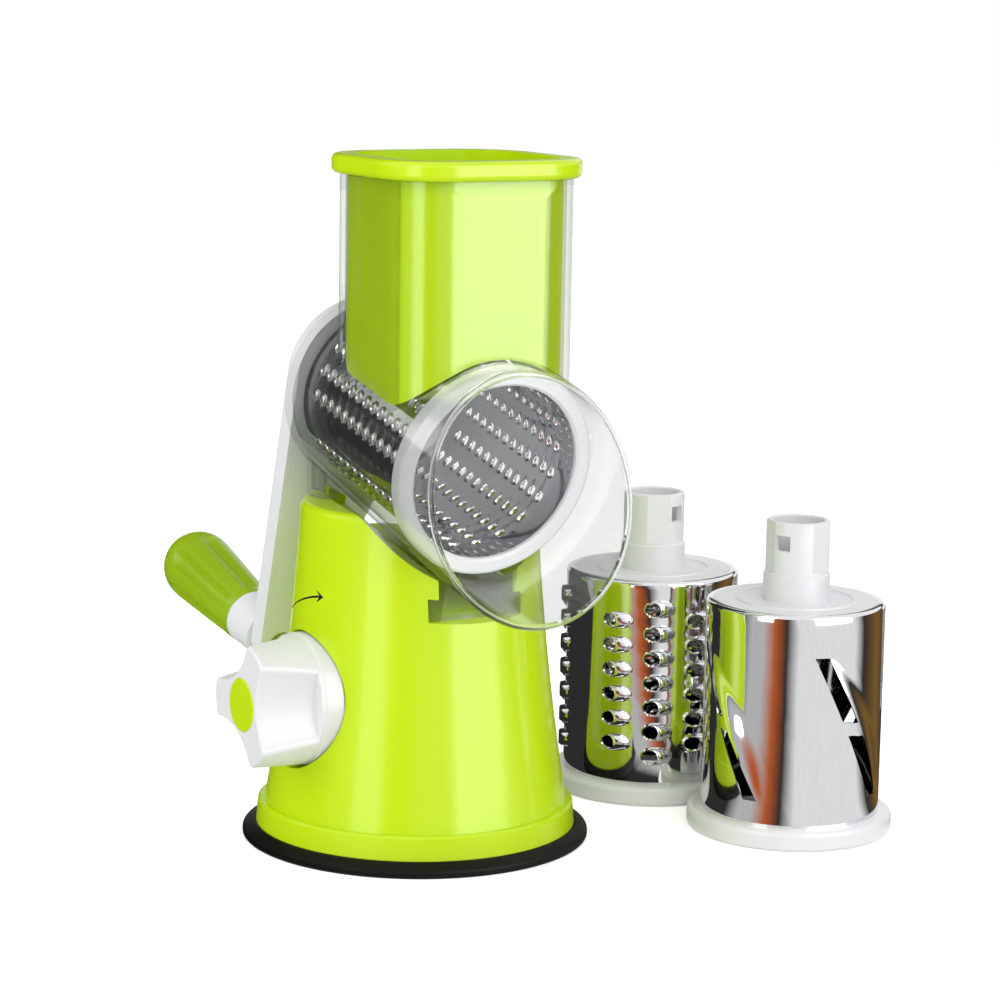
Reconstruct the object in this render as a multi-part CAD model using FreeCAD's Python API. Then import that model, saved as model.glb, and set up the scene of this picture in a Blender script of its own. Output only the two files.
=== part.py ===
import FreeCAD, Part
import os
from math import sin, cos, pi, radians, sqrt, atan2, degrees
from FreeCAD import Vector, Placement, Rotation

# A hand cranked drum shredder. Millimetres, +Z up, origin at the centre of the
# suction foot's underside. The drum mouth faces -Y, the crank is at +Y and the
# clamp knob is at -X. Two spare drums stand beside it at +X.

os.makedirs("parts", exist_ok=True)

# ---------------------------------------------------------------- driving sizes
# general fits
sheet_gap = 0.3           # between pieces that move past each other
running_gap = 0.05        # radial, shaft in bearing
far = 200.0               # past every piece, for cuts that run right through

# suction foot and base
foot_radius = 62.5
foot_height = 5.0
foot_rim = 4.9            # the rubber stands out this far round the base
flange_height = 8.4
flange_step = 3.2
waist_share = 57 / 122    # of the flare from top to flange, left at the waist
base_waist_height = 58.0
base_top_radius = 42.2
base_height = 122.0
base_wall = 2.6
membrane = 2.8
suction_relief = 0.8

# drum axis: it rises towards the crank
drum_tilt = 13.13
mouth_ahead = 12.3        # the drum's mouth stands out past the base's top
mouth_rise = 17.1         # and above it

# drums
drum_radius = 32.6
drum_length = 84.9
sheet = 0.6
ring_width = 4.9
ring_height = 7.5
ring_seat = 2.4
ring_overlap = 0.9
disc_thickness = 2.8
hub_radius = 11.5
hub_wall = 2.2
collar_step = 0.6
collar_length = 9.8
hub_length = 29.5
window_size = 5.8
window_from_end = 7.6
flat_depth = 0.9
flat_angle = -40.0        # from the window
tooth_height = 1.2
coarse_height = 2.7

# clear housing
ring_room = 0.4           # radial, drum ring in the tube's mouth
tube_wall = 1.9
tube_draft = 2.3
tube_end_room = 4.1
rim_ahead = 24.4          # the outlet's oblique edge, from the drum's mouth
rim_drop = 5.9
rim_lean = 11.38
rim_bead = 1.2
chute_x = 71.2
chute_y = 68.4
chute_corner = 21.0
chute_back = 31.3         # its middle, behind the drum's mouth
chute_wall = 2.2
chute_rise = 99.4
cradle_gap = 3.2
rail_width = 36.2
rail_height = 7.2
rail_neck = 29.0
rail_below = 4.0          # under the cradle
rail_start = 1.0
rail_length = 49.0

# pusher
pusher_head = 7.0
pusher_rounding = 2.1
pusher_overhang = 3.0
pusher_wall = 2.2
pusher_fit = 0.4
pusher_clearance = 0.7    # over the drum's ring

# clamp knob and lifting gear
knob_z = 54.0
knob_sink = 6.7           # depth of its flat seat in the waist
knob_disc_radius = 23.5
knob_disc_height = 8.5
knob_height = 28.5
lobe_radius = 22.8
lobe_turn = -26.5
scoop_reach = 36.5
scoop_deep = 20.7         # radius of a finger scoop at the skirt
scoop_wide = 25.0         # and at the knob's face
cap_radius = 9.5
shaft_radius = 4.0
lift_travel = 3.0
cam_radius = 8.0
stem_radius = 4.0

# crank: places along the drum axis are counted back from the end of the drum's hub
crank_reach = 108.5
crank_angle = 11.8        # from straight down, towards -X
head_radius = 28.0
arm_setback = 15.9
arm_depth = 10.0
arm_end_radius = 8.5
arm_wall = 2.0
arm_web = 2.2
cover_thickness = 1.8
socket_lead = 21.4
socket_cap = 2.6
grip_offset = 9.6
grip_length = 49.0
grip_small_radius = 10.9
grip_large_radius = 13.9
grip_flutes = 6
flute_depth = 1.5
pin_radius = 3.0
button_radius = 8.0
button_travel = 3.0

# where the spare drums stand
spare_gap = 0.5
coarse_room = 12.6        # from the suction foot
coarse_y = 18.5
slicer_bearing = -79.6    # from the coarse drum

# ---------------------------------------------------------------- worked out once
tilt = radians(drum_tilt)
mouth_y = -(base_top_radius + mouth_ahead)
mouth_z = base_height + mouth_rise
X_AXIS = Vector(1, 0, 0)
Y_AXIS = Vector(0, 1, 0)
Z_AXIS = Vector(0, 0, 1)
# drum frame: local Z runs from the mouth to the crank, local X is world X, local Y points down
DRUM_FRAME = Placement(Vector(0, mouth_y, mouth_z), Rotation(X_AXIS, drum_tilt - 90))
# rim frame: local Z leaves the outlet, local Y lies in its plane and points up
RIM_FRAME = Placement(Vector(0, mouth_y - rim_ahead, mouth_z - rim_drop), Rotation(X_AXIS, 90 - rim_lean))
flange_radius = foot_radius - foot_rim
base_low_radius = flange_radius - flange_step
base_waist_radius = base_top_radius + (base_low_radius - base_top_radius) * waist_share
flange_top = foot_height + flange_height
# knob frame: local Z leaves the knob's face, local X points up
knob_seat_x = base_waist_radius - knob_sink
KNOB_FRAME = Placement(Vector(-knob_seat_x, 0, knob_z), Rotation(Y_AXIS, -90))
ring_radius = drum_radius + ring_width
mouth_radius = drum_radius - ring_overlap
hub_bore = hub_radius - hub_wall
collar_radius = hub_radius + collar_step
collar_top = drum_length + collar_length
hub_top = drum_length + hub_length
window_middle = hub_top - window_from_end
tube_radius = ring_radius + ring_room + tube_wall
tube_rear_radius = tube_radius - tube_draft
tube_length = drum_length + tube_end_room
cradle_radius = tube_radius + cradle_gap
rail_drop = cradle_radius + rail_below
chute_middle = mouth_y + chute_back
chute_top = mouth_z + chute_rise
pusher_top = chute_top + pusher_head
arm_front = hub_top - arm_setback
arm_rear = arm_front + arm_depth
socket_front = hub_top - socket_lead
socket_rear = hub_top + socket_cap
grip_start = hub_top + grip_offset
cam_throw = lift_travel / sqrt(2)
cam_drop = cam_throw * sin(radians(45))


# ---------------------------------------------------------------- helpers
def outline(*steps):
    """Closed face in the XZ plane. A step is a point (x, z), or (through, end) for an arc."""
    start = Vector(steps[0][0], 0, steps[0][1])
    here = start
    edges = []
    for step in steps[1:]:
        if isinstance(step[0], tuple):
            through = Vector(step[0][0], 0, step[0][1])
            end = Vector(step[1][0], 0, step[1][1])
            edges.append(Part.Arc(here, through, end).toShape())
        else:
            end = Vector(step[0], 0, step[1])
            edges.append(Part.LineSegment(here, end).toShape())
        here = end
    if (here - start).Length > 1e-6:
        edges.append(Part.LineSegment(here, start).toShape())
    return Part.Face(Part.Wire(edges))


def turned(*steps):
    """Solid of revolution about Z."""
    return outline(*steps).revolve(Vector(0, 0, 0), Z_AXIS, 360)


def rod(radius, z_low, z_high, x=0.0, y=0.0):
    return Part.makeCylinder(radius, z_high - z_low, Vector(x, y, z_low))


def block(x_low, x_high, y_low, y_high, z_low, z_high):
    size = (x_high - x_low, y_high - y_low, z_high - z_low)
    return Part.makeBox(size[0], size[1], size[2], Vector(x_low, y_low, z_low))


def rounded_wire(size_x, size_y, corner, middle_y, z):
    """Rectangle with round corners, flat at height z."""
    half_x, half_y = size_x / 2 - corner, size_y / 2 - corner
    edges = []
    corners = [(half_x, half_y), (-half_x, half_y), (-half_x, -half_y), (half_x, -half_y)]
    for turn, (cx, cy) in enumerate(corners):
        centre = Vector(cx, middle_y + cy, z)
        circle = Part.Circle(centre, Z_AXIS, corner)
        edges.append(circle.toShape(turn * pi / 2, (turn + 1) * pi / 2))
    points = [(edge.valueAt(edge.FirstParameter), edge.valueAt(edge.LastParameter)) for edge in edges]
    loop = []
    for index, edge in enumerate(edges):
        loop.append(edge)
        loop.append(Part.LineSegment(points[index][1], points[(index + 1) % 4][0]).toShape())
    return Part.Wire(loop)


def rounded_prism(size_x, size_y, corner, middle_y, z_low, z_high):
    face = Part.Face(rounded_wire(size_x, size_y, corner, middle_y, z_low))
    return face.extrude(Vector(0, 0, z_high - z_low))


def around(shape, angle, axis=Z_AXIS, centre=Vector(0, 0, 0)):
    copy = shape.copy()
    copy.rotate(centre, axis, angle)
    return copy


def placed(shape, placement):
    copy = shape.copy()
    copy.Placement = placement.multiply(copy.Placement)
    return copy


def radial(radius, angle, z=0.0):
    return Vector(radius * cos(radians(angle)), radius * sin(radians(angle)), z)


def tube_outer(s):
    """Outside radius of the clear tube at s along the drum axis."""
    if s <= 0:
        return tube_radius
    return tube_radius + (tube_rear_radius - tube_radius) * s / tube_length


pieces = {}


def keep(name, shape):
    if isinstance(shape, list):
        shape = Part.makeCompound(shape)
    pieces[name] = shape


# ---------------------------------------------------------------- suction foot and base
def base_arc(offset, z_low, z_high):
    """The base's curved flank between two heights, drawn inwards by offset, as an arc step."""
    low = Vector(base_low_radius, 0, flange_top)
    mid = Vector(base_waist_radius, 0, base_waist_height)
    top = Vector(base_top_radius, 0, base_height)
    circle = Part.Arc(low, mid, top).toShape().Curve

    def radius_at(z):
        reach = circle.Radius + offset
        return circle.Center.x - sqrt(reach ** 2 - (z - circle.Center.z) ** 2)

    z_mid = (z_low + z_high) / 2
    return (radius_at(z_low), z_low), ((radius_at(z_mid), z_mid), (radius_at(z_high), z_high))


def base_solid(offset, z_floor, z_top, round_over):
    """Solid inside the base's outline: flange, flank and rounded shoulder."""
    foot = flange_radius - offset
    step_low = flange_top - 0.8 - offset / 2
    start, flank = base_arc(offset, flange_top + offset / 2, z_top - round_over)
    shoulder = flank[1][0]
    bend = round_over * (1 - cos(radians(45)))
    return turned(
        (0, z_floor), (foot, z_floor), (foot - 0.7, step_low), (foot - 1.5, start[1]), start, flank,
        ((shoulder - bend - 0.1, z_top - bend), (shoulder - round_over, z_top)), (0, z_top))


def make_suction_foot():
    inner = plate_radius - plate_rim - 0.5
    keep("suction_cup", turned(
        (0, 0), (lift_disc_radius + 2, 0), (lift_disc_radius + 4, suction_relief),
        (inner - 3.0, suction_relief), (inner - 2.2, 0), (foot_radius - 1.2, 0),
        ((foot_radius - 0.3, 0.4), (foot_radius, 1.3)), (foot_radius, 2.4),
        ((foot_radius - 1.2, 3.9), (flange_radius + 0.8, foot_height)), (inner, foot_height),
        (inner - 1.4, membrane), (0, membrane)))


def make_base_shell():
    shell = base_solid(0, foot_height, base_height, 2.6)
    core = base_solid(base_wall, foot_height - 1, base_height - base_wall, 0.6)
    core = core.cut(placed(rod(cradle_radius + base_wall, -far, far), DRUM_FRAME))
    channel = block(-slot_half - base_wall, slot_half + base_wall, cradle_radius - 10,
                    slot_bottom + base_wall, -far, far)
    core = core.cut(placed(channel, DRUM_FRAME))
    seat = rod(knob_disc_radius + 0.8 + base_wall, -base_wall, 60)
    core = core.cut(placed(seat, KNOB_FRAME))
    bearing = rod(bushing_radius + 2.4, -(knob_seat_x - bearing_end), 0)
    core = core.cut(placed(bearing, KNOB_FRAME))
    for angle in screw_angles:
        spot = radial(screw_circle, angle)
        core = core.cut(rod(4.2, plate_top, 40, spot.x, spot.y))
    shell = shell.cut(core)
    shell = shell.cut(placed(rod(cradle_radius, -far, far), DRUM_FRAME))
    neck = block(-neck_half, neck_half, cradle_radius - 10, slot_top + 0.1, -far, far)
    bar = block(-slot_half, slot_half, slot_top, slot_bottom, -far, far)
    shell = shell.cut(placed(neck.fuse(bar), DRUM_FRAME))
    shell = shell.cut(placed(rod(knob_disc_radius + 0.8, 0, 60), KNOB_FRAME))
    shell = shell.cut(placed(rod(bushing_radius, -60, 0.5), KNOB_FRAME))
    for angle in screw_angles:
        spot = radial(screw_circle, angle)
        shell = shell.cut(rod(screw_radius, plate_top - 1, screw_top + 1, spot.x, spot.y))
    saddle = rod(cradle_radius + 1.5, saddle_start, saddle_start + saddle_thickness)
    saddle = saddle.cut(rod(saddle_radius, -far, far))
    saddle = saddle.common(block(-saddle_half, saddle_half, 0, far, -far, far))
    saddle = saddle.cut(block(-neck_half, neck_half, 0, far, -far, far))
    keep("base_shell", shell.fuse(placed(saddle, DRUM_FRAME)).removeSplitter())


slot_half = rail_width / 2 + sheet_gap
neck_half = rail_neck / 2 + sheet_gap
slot_top = rail_drop - sheet_gap
slot_bottom = rail_drop + rail_height + sheet_gap
bushing_radius = shaft_radius + 2.0
bearing_end = 12.0
screw_circle = base_low_radius - 7.9
screw_angles = [45, 135, 225, 315]
screw_radius = 1.4
plate_radius = base_low_radius - base_wall - sheet_gap
plate_rim = 2.6
plate_low = foot_height + 6.0
plate_top = plate_low + 2.6
screw_top = plate_top + 14.0
saddle_start = tube_length - 13.0
saddle_thickness = 4.0
saddle_half = neck_half + 7.2
saddle_radius = tube_radius + 0.4


def make_base_plate():
    outer = plate_radius
    rim = plate_radius - plate_rim
    plate = turned(
        (stem_radius + running_gap, plate_low), (rim, plate_low), (rim, foot_height),
        (outer, foot_height), (outer, plate_top), (stem_radius + 4, plate_top),
        (stem_radius + 3.4, guide_top), (stem_radius + running_gap, guide_top))
    ribs = []
    for index in range(8):
        rib = block(stem_radius + 3, screw_circle - 6.5, -0.9, 0.9, plate_top - 0.5, plate_top + 4)
        ribs.append(around(rib, index * 45))
    plate = plate.multiFuse(ribs)
    for angle in screw_angles:
        spot = radial(screw_circle, angle)
        plate = plate.cut(rod(screw_radius + 0.3, 0, far, spot.x, spot.y))
        plate = plate.cut(rod(3.2, 0, plate_low + 1.2, spot.x, spot.y))
    keep("base_plate", plate)
    screws = []
    for angle in screw_angles:
        spot = radial(screw_circle, angle)
        head = rod(3.0, plate_low - 0.9, plate_low + 1.2, spot.x, spot.y)
        screws.append(head.fuse(rod(screw_radius, plate_low, screw_top, spot.x, spot.y)).removeSplitter())
    keep("base_screws", screws)


lift_disc_radius = 20.0
guide_top = knob_z - 20.0
yoke_half_height = cam_radius + sheet_gap
yoke_half_width = cam_radius + cam_throw + 0.5
yoke_frame = 3.4
yoke_thickness = 7.0
cam_centre = (cam_throw * cos(radians(45)), knob_z - cam_drop)


def make_lifting_gear():
    disc_bottom = membrane
    boss_top = disc_bottom + 4.6
    keep("lift_disc", turned(
        (0, disc_bottom + 1.0), (2.6, disc_bottom + 1.0), (2.6, boss_top), (6.5, boss_top),
        (7.5, disc_bottom + 2.2), (lift_disc_radius, disc_bottom + 2.0), (lift_disc_radius, disc_bottom),
        (0, disc_bottom)))
    yoke_bottom = cam_centre[1] - yoke_half_height - yoke_frame
    spigot = rod(2.6, disc_bottom + 1.0, boss_top + 0.5)
    stem = rod(stem_radius, boss_top, yoke_bottom + 1.5)
    frame = yoke_plate(yoke_half_width + yoke_frame, yoke_half_height + yoke_frame, 5)
    window = yoke_plate(yoke_half_width, yoke_half_height, 1.5)
    keep("lift_stem", frame.cut(window).fuse(stem).fuse(spigot).removeSplitter())
    cam = rod(cam_radius, -yoke_thickness / 2 - 0.6, yoke_thickness / 2 + 0.6)
    cam.Placement = Placement(Vector(0, cam_centre[0], cam_centre[1]), Rotation(Y_AXIS, 90))
    hole = rod(shaft_radius, -20, 20)
    hole.Placement = Placement(Vector(0, 0, knob_z), Rotation(Y_AXIS, 90))
    keep("cam", cam.cut(hole))
    shaft_end = yoke_thickness / 2 + 0.6
    shaft = rod(shaft_radius, -knob_seat_x - shaft_end, shaft_tip)
    flange = rod(shaft_radius + 1.6, -knob_seat_x - shaft_end - 2.2, -knob_seat_x - shaft_end)
    collar = rod(shaft_radius + 1.6, -(knob_seat_x - bearing_end) - 1.4, -(knob_seat_x - bearing_end) - 0.3)
    shaft = shaft.multiFuse([flange, collar]).removeSplitter()
    shaft = shaft.cut(rod(screw_radius, shaft_tip - 8, shaft_tip + 1))
    keep("cam_shaft", placed(shaft, KNOB_FRAME))
    bushing = rod(bushing_radius, -(knob_seat_x - bearing_end), 0)
    bushing = bushing.cut(rod(shaft_radius + running_gap, -60, 10))
    keep("shaft_bushing", placed(bushing, KNOB_FRAME))


def yoke_plate(half_width, half_height, corner):
    """Upright plate in the YZ plane with round corners, about the cam's centre."""
    plate = rounded_prism(2 * half_height, 2 * half_width, corner, 0, -yoke_thickness / 2, yoke_thickness / 2)
    plate.Placement = Placement(Vector(0, 0, cam_centre[1]), Rotation(Y_AXIS, 90))
    return plate


shaft_tip = 18.0


# ---------------------------------------------------------------- clamp knob
def make_knob():
    seat = sheet_gap
    disc = turned(
        (0, seat), (knob_disc_radius, seat), (knob_disc_radius, knob_disc_height - 2.5),
        ((knob_disc_radius - 0.7, knob_disc_height - 0.7), (knob_disc_radius - 2.5, knob_disc_height)),
        (0, knob_disc_height))
    body = disc.fuse(knob_lobes())
    body = body.cut(rod(shaft_radius, -1, shaft_tip))
    body = body.cut(rod(screw_radius, 0, knob_height + 1))
    body = body.cut(rod(screw_head_radius + 0.4, screw_head_low, knob_height + 1))
    body = body.cut(rod(cap_radius, knob_height - cap_sink, knob_height + 1))
    groove = rod(knob_disc_radius - 2.6, seat - 1, knob_disc_height - 2.6).cut(rod(8.5, -1, 40))
    body = body.cut(groove).removeSplitter()
    keep("knob", placed(body, KNOB_FRAME))
    cap = turned((0, knob_height - cap_sink), (cap_radius, knob_height - cap_sink),
                 (cap_radius, knob_height + 0.1), (cap_radius - 0.5, knob_height + 0.5),
                 (0, knob_height + 0.7))
    keep("knob_cap", placed(cap, KNOB_FRAME))
    screw = rod(screw_head_radius, screw_head_low, screw_head_low + 2.2)
    screw = screw.fuse(rod(screw_radius, shaft_tip - 7, screw_head_low)).removeSplitter()
    keep("knob_screw", placed(screw, KNOB_FRAME))


screw_head_radius = 3.4
screw_head_low = 21.0
cap_sink = 1.6
lobe_rounding = 2.0
face_rounding = 1.2


def knob_lobes():
    """Three lobes left between finger scoops that widen towards the face, with soft edges."""
    rise = knob_height - knob_disc_height
    taper = (scoop_wide - scoop_deep) / rise
    lobes = Part.makeCone(lobe_radius + 0.6, lobe_radius - 0.6, knob_height - 1, Vector(0, 0, 1))
    lobes = around(lobes, 60 + lobe_turn)
    for index in range(3):
        angle = 60 + lobe_turn + 120 * index
        middle = radial(scoop_reach, angle, knob_disc_height)
        scoop = Part.makeCone(scoop_deep, scoop_wide + 2 * taper, rise + 2, middle)
        lobes = lobes.cut(around(scoop, angle, Z_AXIS, middle))
    upright = []
    for edge in lobes.Edges:
        heights = [vertex.Point.z for vertex in edge.Vertexes]
        if min(heights) > knob_disc_height - 0.1 and max(heights) - min(heights) > rise / 2:
            upright.append(edge)
    lobes = lobes.makeFillet(lobe_rounding, upright)
    top = [edge for edge in lobes.Edges if min(v.Point.z for v in edge.Vertexes) > knob_height - 0.01]
    return lobes.makeFillet(face_rounding, top)


# ---------------------------------------------------------------- clear housing
def cone_along_axis(inset, s_low, s_high):
    """The tube's drafted form in the drum frame, drawn inwards by inset."""
    front = tube_radius - inset
    rear = tube_outer(s_high) - inset
    solid = rod(front, s_low, 0)
    return solid.fuse(Part.makeCone(front, rear, s_high, Vector(0, 0, 0))).removeSplitter()


def make_housing():
    outside = cone_along_axis(0, -60, tube_length)
    inside = cone_along_axis(tube_wall, -61, tube_length - 2.5)
    upper_half = block(-far, far, -2 * far, 0, -far, far)
    chute = rounded_prism(chute_x, chute_y, chute_corner, chute_middle, mouth_z - 20, chute_top)
    chute = chute.common(placed(upper_half, DRUM_FRAME))
    throat = rounded_prism(chute_x - 2 * chute_wall, chute_y - 2 * chute_wall, chute_corner - chute_wall,
                           chute_middle, mouth_z - 30, chute_top + 5)
    throat = throat.common(placed(upper_half, DRUM_FRAME))
    bearing = rod(collar_radius + 3.6, tube_length - 2.5, bearing_rear)
    rail = block(-rail_width / 2, rail_width / 2, rail_drop, rail_drop + rail_height,
                 rail_start, rail_start + rail_length)
    neck = block(-rail_neck / 2, rail_neck / 2, tube_rear_radius - 6, rail_drop + 0.1,
                 rail_start, rail_start + rail_length)
    hollow = block(-rail_neck / 2 + 2.4, rail_neck / 2 - 2.4, tube_radius + 1.2, rail_drop + rail_height + 1,
                   rail_start + 2.6, rail_start + rail_length - 2.6)
    tab = block(-9, 9, tube_rear_radius - 6, cradle_radius - 0.5,
                saddle_start + saddle_thickness + sheet_gap, saddle_start + saddle_thickness + 3.3)
    tilted = outside.multiFuse([bearing, rail, neck, tab]).cut(hollow)
    body = placed(tilted, DRUM_FRAME).fuse(chute)
    legs = []
    for side in (-1, 1):
        for x in (leg_x - 2.5, leg_x + 2.5):
            legs.append(block(side * x - 1, side * x + 1, leg_front, leg_rear, leg_foot, mouth_z + 10))
        low, high = sorted((side * (leg_x - 3.5), side * (leg_x + 3.5)))
        legs.append(block(low, high, leg_front, leg_rear, leg_foot, leg_foot + 2))
    body = body.multiFuse(legs)
    cutter = placed(block(-far, far, -far, far, 0, far), RIM_FRAME)
    body = body.cut(cutter)
    body = body.cut(placed(inside, DRUM_FRAME)).cut(throat)
    body = body.cut(placed(rod(collar_radius + running_gap, 0, far), DRUM_FRAME))
    keep("housing", body.fuse(rim_lip()).removeSplitter())


def rim_lip():
    """Rounded bead along the outlet's oblique edge."""
    middle = tube_radius - tube_wall / 2 + 0.4
    stretch = middle / cos(radians(drum_tilt + rim_lean))
    path = Part.Wire([Part.Ellipse(Vector(0, stretch, 0), Vector(middle, 0, 0), Vector(0, 0, 0)).toShape()])
    profile = Part.Wire([Part.Circle(Vector(0, stretch, 0), X_AXIS, rim_bead).toShape()])
    return placed(path.makePipeShell([profile], True, True), RIM_FRAME)


bearing_rear = tube_length + 2.2
leg_x = 29.5
leg_front = mouth_y + 66.5
leg_rear = leg_front + 12.0
leg_foot = base_height + sheet_gap


# ---------------------------------------------------------------- pusher
def make_pusher():
    wide = chute_x - 2 * chute_wall - 2 * pusher_fit
    deep = chute_y - 2 * chute_wall - 2 * pusher_fit
    corner = chute_corner - chute_wall - pusher_fit
    rim_low = chute_top + sheet_gap
    plunger = rounded_prism(wide, deep, corner, chute_middle, mouth_z - 20, rim_low + 1)
    rim = rounded_prism(chute_x + 2 * pusher_overhang, chute_y + 2 * pusher_overhang,
                        chute_corner + pusher_overhang, chute_middle, rim_low, pusher_top)
    rim_edges = [edge for edge in rim.Edges if abs(edge.CenterOfMass.z - (rim_low + pusher_top) / 2) > 1]
    rim = rim.makeFillet(pusher_rounding, rim_edges)
    hollow = rounded_prism(wide - 2 * pusher_wall, deep - 2 * pusher_wall, corner - pusher_wall,
                           chute_middle, mouth_z - 20, pusher_top + 5)
    clear = ring_radius + pusher_clearance
    lower_half = block(-far, far, 0, far, -far, far)
    below = rod(clear, -far, far).fuse(lower_half)
    floor = rod(clear + pusher_wall, -far, far).fuse(lower_half)
    body = plunger.fuse(rim).cut(placed(below, DRUM_FRAME))
    body = body.cut(hollow.cut(placed(floor, DRUM_FRAME)))
    keep("pusher", body.removeSplitter())


# ---------------------------------------------------------------- drums
def drum_ring():
    seat = drum_radius
    return turned(
        (mouth_radius, 1.0), (mouth_radius + 1.0, 0), (ring_radius - 1.6, 0),
        ((ring_radius - 0.5, 0.5), (ring_radius, 1.6)), (ring_radius, ring_height - 2.0),
        ((ring_radius - 0.6, ring_height - 0.6), (ring_radius - 2.0, ring_height)), (seat, ring_height),
        (seat, ring_seat), (mouth_radius, ring_seat))


def sheet_profile():
    """Wall of the steel shell, with its upper rim rolled over the end disc."""
    inner = drum_radius - sheet
    curl = 1.5
    bend = curl * (1 - cos(radians(45)))
    inner_curl = curl - sheet
    inner_bend = inner_curl * (1 - cos(radians(45)))
    return outline(
        (inner, ring_seat), (drum_radius, ring_seat), (drum_radius, drum_length - curl),
        ((drum_radius - bend, drum_length - bend), (drum_radius - curl, drum_length)),
        (drum_radius - 3.0, drum_length), (drum_radius - 3.0, drum_length - sheet),
        (drum_radius - curl, drum_length - sheet),
        ((inner - inner_bend, drum_length - sheet - inner_bend), (inner, drum_length - curl)))


def sheet_slice(angle):
    """Slice of the bare shell, half its angle to each side of +X."""
    return around(sheet_profile(), -angle / 2).revolve(Vector(0, 0, 0), Z_AXIS, angle)


def punched_slice(angle, raised, holes):
    """Slice of the shell with raised forms joined on and holes punched through."""
    piece = sheet_slice(angle).multiFuse(raised).cut(Part.makeCompound(holes))
    return piece.cut(rod(drum_radius - sheet, 5, drum_length - 4)).removeSplitter()


def skin(piece, angle):
    """Faces of a slice without its two cut sides."""
    faces = []
    for face in piece.Faces:
        outward = face.normalAt(0, 0)
        is_side = False
        for side in (-1, 1):
            across = radial(1, side * (90 + angle / 2))
            on_plane = abs(face.CenterOfMass.dot(across)) < 1e-4
            is_side = is_side or (on_plane and abs(outward.dot(across)) > 0.999999)
        if not is_side:
            faces.append(face)
    return faces


def closed_shell(slices, angle):
    """Slices, each with its place round the drum, sewn into one solid."""
    faces = []
    for piece, place in slices:
        for face in skin(piece, angle):
            faces.append(around(face, place))
    joined = Part.makeCompound(faces)
    joined.sewShape()
    return Part.Solid(joined.Shells[0])


def drum_hub():
    disc_low = drum_length - sheet - disc_thickness
    disc_edge = drum_radius - sheet - 1.0
    raised = drum_length + 0.1
    hub = turned(
        (0, disc_low), (disc_edge, disc_low), (disc_edge, drum_length - sheet),
        (drum_radius - 3.1, drum_length - sheet), (drum_radius - 3.1, raised),
        (22.0, raised), (21.7, raised + 0.5), (20.9, raised + 0.5), (20.6, raised),
        (collar_radius, raised), (collar_radius, collar_top), (hub_radius, collar_top + collar_step),
        (hub_radius, hub_top - 0.6), (hub_radius - 0.6, hub_top),
        (hub_bore + 0.5, hub_top), (hub_bore, hub_top - 0.5), (hub_bore, disc_low + 2.5), (0, disc_low + 2.5))
    half = window_size / 2
    window = block(0, hub_radius + 3, -half, half, window_middle - half, window_middle + half)
    hub = hub.cut(window)
    flat = block(hub_radius - flat_depth, hub_radius + 3, -6, 6, flat_start, hub_top + 1)
    for index in range(3):
        hub = hub.cut(around(flat, flat_angle + 120 * index))
    return hub


flat_start = collar_top + collar_step + 0.6


def repeated(tool, places):
    """Copies of a tool made at angle 0 and height 0, turned and raised to each (angle, height)."""
    copies = []
    for angle, height in places:
        copy = tool.copy()
        copy.Placement = Placement(Vector(0, 0, height), Rotation(Z_AXIS, angle)).multiply(copy.Placement)
        copies.append(copy)
    return copies


# fine drum: rows of small raised teeth, with a bare strip at the sheet's seam
fine_positions = 21
fine_rows = 20
fine_teeth = 12
fine_pitch = 5.45
fine_first = 14.6
fine_phase = 184.5
tooth_half = 1.3
tooth_length = 2.4
punch_length = 2.2


def fine_shell():
    inner = drum_radius - sheet - 0.3
    tip = drum_radius + tooth_height
    root = [Vector(inner, 0, -tooth_half), Vector(inner, 0, tooth_half), Vector(inner, tooth_length, 0)]
    sides = [root, [root[0], root[1], Vector(tip, 0, 0)], [root[1], root[2], Vector(tip, 0, 0)],
             [root[2], root[0], Vector(tip, 0, 0)]]
    nose = Part.Solid(Part.Shell([Part.Face(Part.makePolygon(side + side[:1])) for side in sides]))
    corners = [Vector(inner - 1, 0, -tooth_half), Vector(inner - 1, 0, tooth_half),
               Vector(inner - 1, -punch_length, 0)]
    punch = Part.Face(Part.makePolygon(corners + corners[:1])).extrude(Vector(6, 0, 0))
    step = 360 / fine_positions
    places = [(0, fine_first + tooth * fine_pitch) for tooth in range(fine_teeth)]
    toothed = punched_slice(step, repeated(nose, places), repeated(punch, places))
    slices = [(toothed, fine_phase + row * step) for row in range(fine_rows)]
    slices.append((sheet_slice(step), fine_phase - step))
    return closed_shell(slices, step)


# coarse drum: staggered columns of raised teeth, each with a round mouth to one side
coarse_positions = 13
coarse_columns = 12
coarse_pitch = 9.37
coarse_first = 18.6
coarse_phase = -145.8
hood_sides = 8
hood_length = 12.0
hood_width = 7.0
hood_mouth = 5.8
mouth_offset = 2.5
mouth_lip = 0.35          # share of the tooth's height at the low side of its mouth


def hood_form(inset):
    """Tooth that stands out along +X, from a long base to a leaning round mouth, drawn in by inset."""
    root = []
    rim = []
    for index in range(hood_sides):
        side = radial(1, (index + 0.5) * 360 / hood_sides)
        lean = mouth_lip + (1 - mouth_lip) * (1 + side.x) / 2
        root.append(Vector(drum_radius - sheet - 0.3 - inset, (hood_length / 2 - inset) * side.x,
                           (hood_width / 2 - inset) * side.y))
        mouth = (hood_mouth / 2 - inset) * side
        rim.append(Vector(drum_radius + coarse_height * lean + inset / 2, mouth.x - mouth_offset, mouth.y))
    return Part.makeLoft([Part.makePolygon(loop + loop[:1]) for loop in (root, rim)], True, True)


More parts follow.
